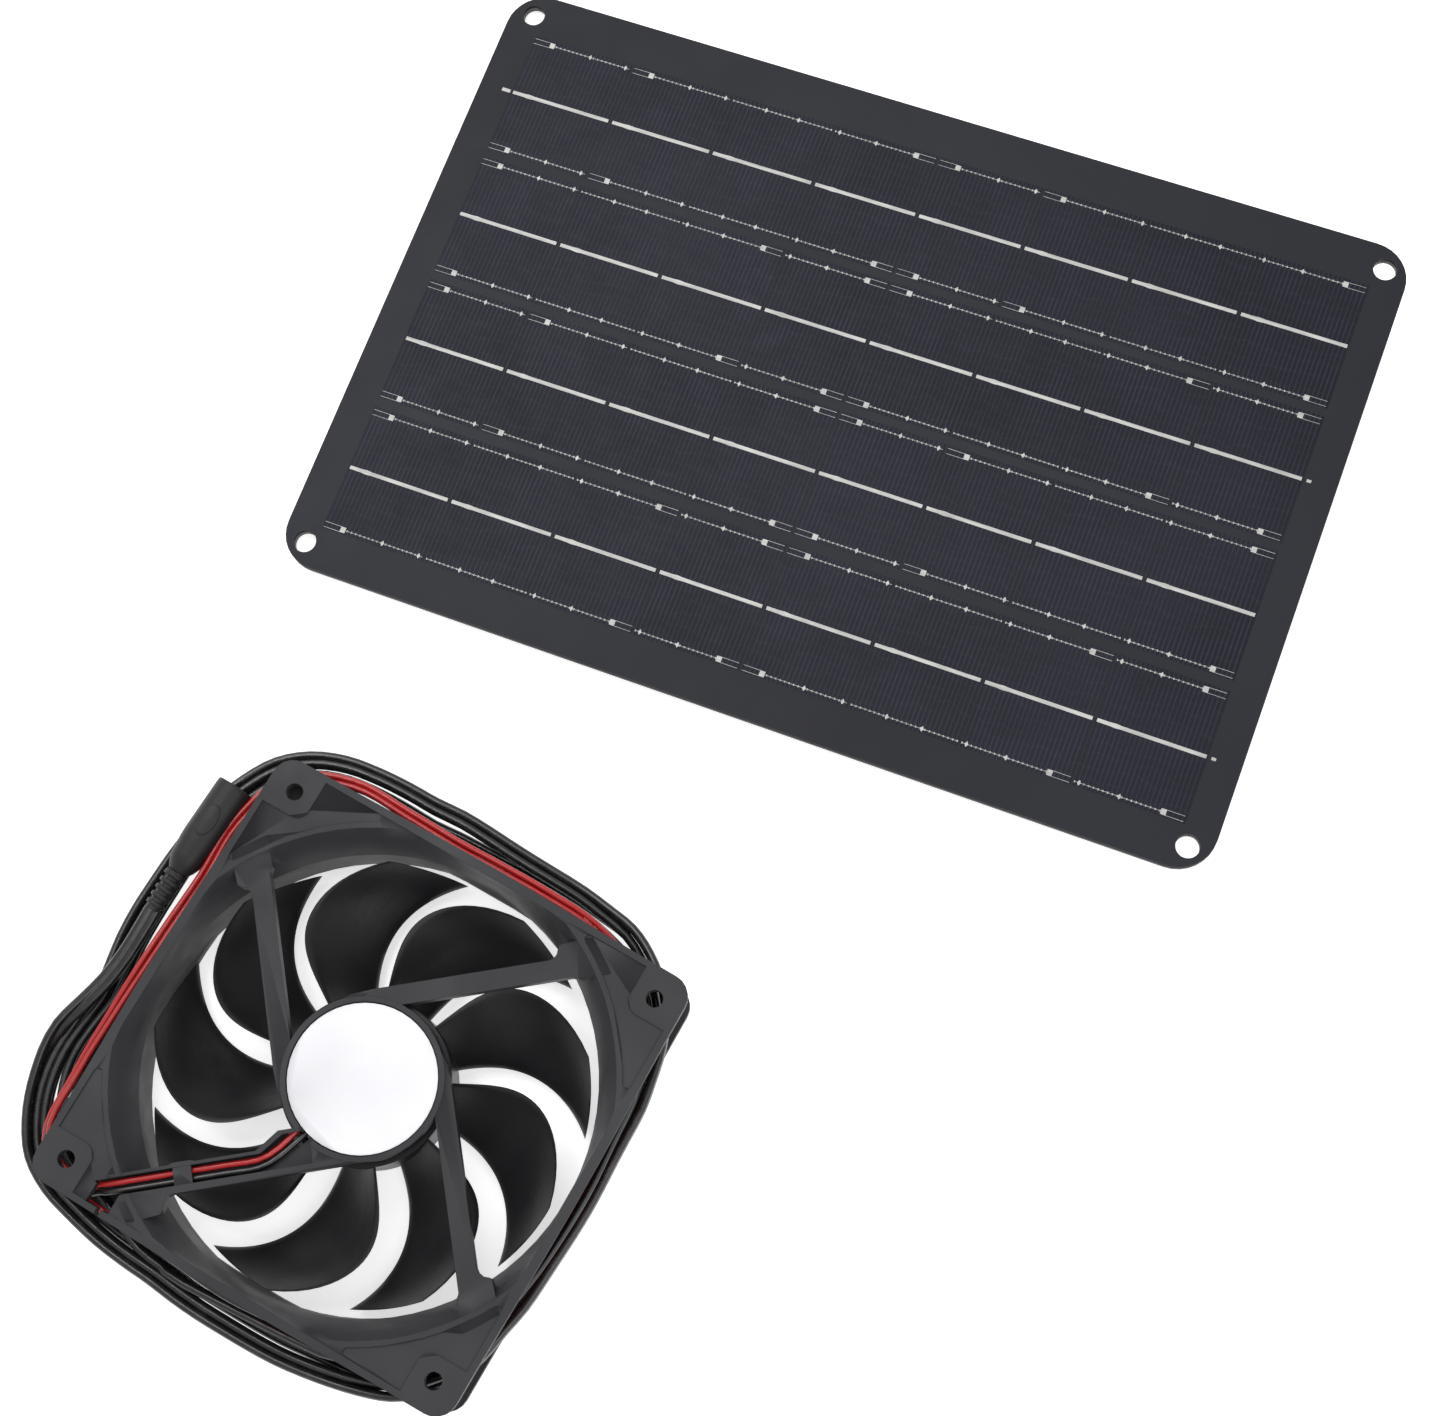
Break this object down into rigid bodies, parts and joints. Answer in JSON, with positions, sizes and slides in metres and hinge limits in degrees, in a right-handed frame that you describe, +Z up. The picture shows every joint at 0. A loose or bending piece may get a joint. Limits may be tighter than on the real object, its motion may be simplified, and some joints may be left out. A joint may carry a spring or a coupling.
{
  "type": "solar attic fan",
  "caption": "Square axial fan with its two-wire lead wound round the frame, and a flat solar panel with corner screw holes to power it.",
  "frame": {"origin": "middle of the ground under the fan and the panel, measured without the lead", "axes": "+Z up; +X along the panel's long side, towards its raised end; +Y from the fan to the panel"},
  "size_m": [0.2573, 0.3709, 0.025],
  "materials": {
    "frame_plastic": "matt satin, dark charcoal",
    "label": "satin white",
    "impeller_plastic": "satin black",
    "tube_brass": "plain",
    "steel": "plain",
    "core_steel": "laminated",
    "bobbin_nylon": "natural",
    "winding_copper": "enamelled copper",
    "board": "green board",
    "electronics": "black epoxy",
    "magnet": "ferrite",
    "wire_red": "glossy red insulation",
    "wire_black": "glossy black insulation",
    "socket_rubber": "matt",
    "contact": "nickel plated",
    "panel_backing": "matt black",
    "cell_silicon": "blue-black silicon",
    "front_film": "satin film",
    "box_plastic": "matt black",
    "terminal": "white"
  },
  "bodies": {
    "fan_and_panel": {"fan_frame": "frame_plastic", "fan_label": "label", "bearing_tube": "tube_brass", "bearing_upper": "steel", "bearing_lower": "steel", "lid_screw_1": "steel", "lid_screw_2": "steel", "lid_screw_3": "steel", "lid_screw_4": "steel", "stator_core": "core_steel", "bobbin_upper": "bobbin_nylon", "bobbin_lower": "bobbin_nylon", "winding_1": "winding_copper", "winding_2": "winding_copper", "winding_3": "winding_copper", "winding_4": "winding_copper", "circuit_board": "board", "driver_chip": "electronics", "blocking_diode": "electronics", "lead_red": "wire_red", "wire_coil": "wire_red", "lead_black": "wire_black", "cable_coil": "wire_black", "cable_tail": "wire_black", "splice_sleeve": "wire_black", "jack_body": "socket_rubber", "jack_strain_relief": "socket_rubber", "jack_contact_sleeve": "contact", "jack_pin": "contact", "panel_backing": "panel_backing", "cell_string_1": "cell_silicon", "cell_string_2": "cell_silicon", "cell_string_3": "cell_silicon", "cell_string_4": "cell_silicon", "front_film": "front_film", "junction_box_base": "box_plastic", "junction_box_lid": "box_plastic", "cable_gland": "box_plastic", "terminal_block": "terminal"},
    "rotor": {"impeller": "impeller_plastic", "rotor_bush": "tube_brass", "rotor_yoke": "steel", "magnet_ring": "magnet", "shaft": "steel", "retaining_ring": "steel", "preload_spring": "steel"}
  },
  "joints": [
    {"name": "rotor_spin", "type": "hinge", "parent": "fan_and_panel", "child": "rotor", "pos_m": [-0.049, -0.1151, 0.0105], "axis": [0, 0, 1], "continuous": true}
  ]
}
